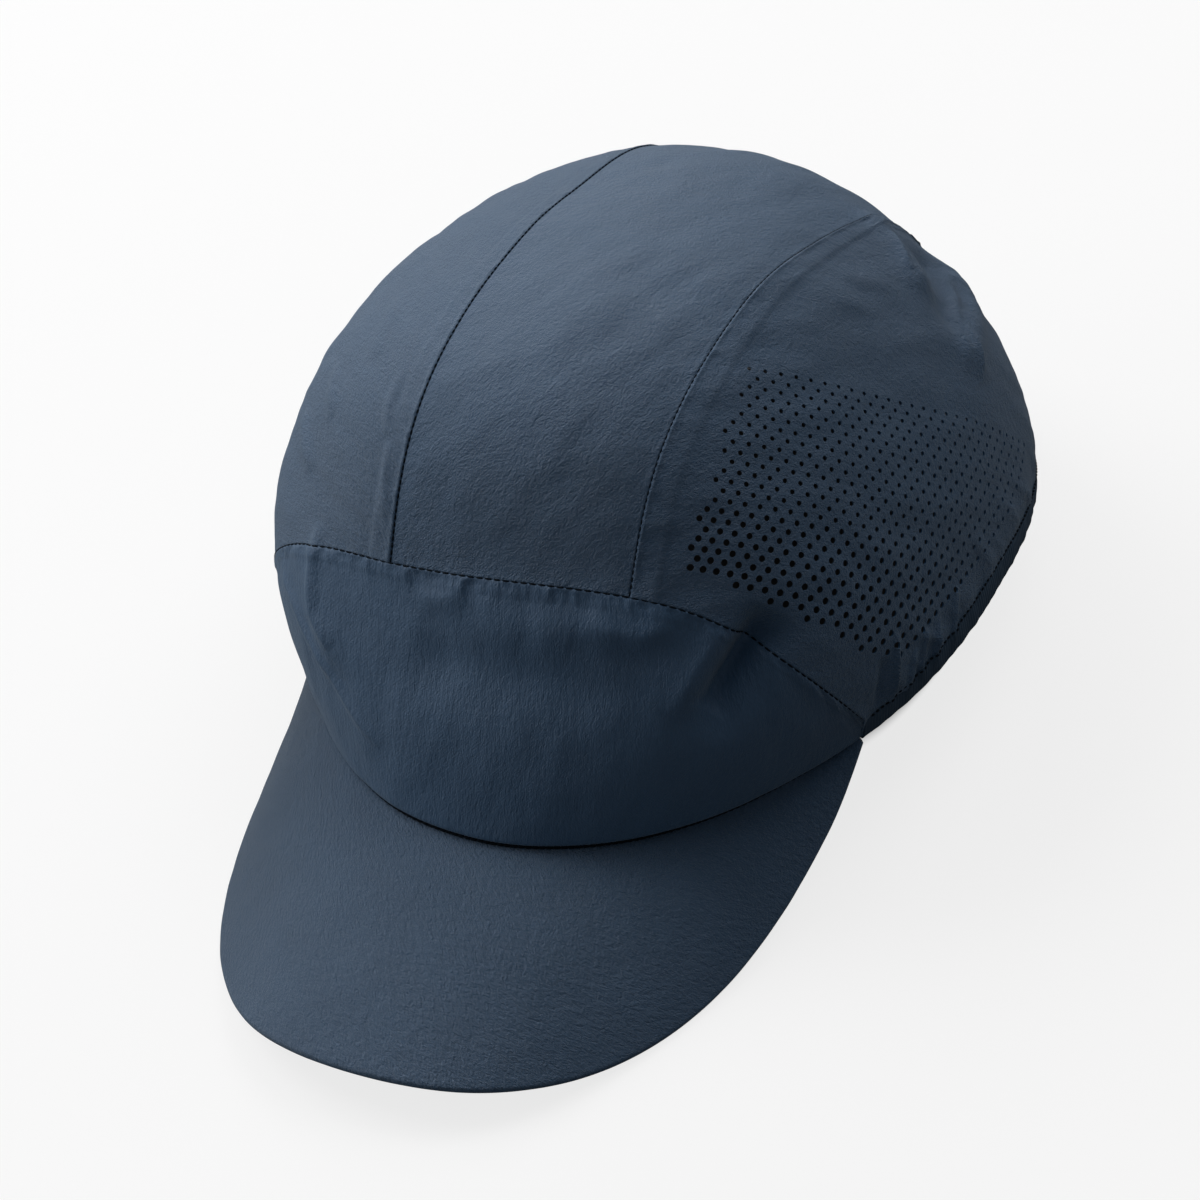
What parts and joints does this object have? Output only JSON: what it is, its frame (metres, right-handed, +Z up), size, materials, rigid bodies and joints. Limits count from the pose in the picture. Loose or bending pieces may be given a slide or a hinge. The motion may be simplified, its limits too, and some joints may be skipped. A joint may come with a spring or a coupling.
{
  "type": "five-panel running cap",
  "caption": "Soft running cap with a round panelled crown, a field of perforations on one side, a curved visor and an elastic tape round the opening.",
  "frame": {"origin": "on the table that the cap lies on, in the middle under its bounding box", "axes": "+Z up, -Y the way the visor points, +X the wearer's left"},
  "size_m": [0.1646, 0.2538, 0.115],
  "materials": {
    "crown_cloth": "matte fine woven cloth, dark slate blue",
    "visor_cloth": "matte fine woven cloth with a faint speckle, dark slate blue",
    "elastic_tape": "matte ribbed elastic tape, near black"
  },
  "bodies": {
    "root": {"front_panel": "crown_cloth", "centre_panel": "crown_cloth", "side_panel_left": "crown_cloth", "side_panel_right": "crown_cloth", "back_panel": "crown_cloth", "edge_binding": "elastic_tape", "visor": "visor_cloth"}
  },
  "joints": []
}
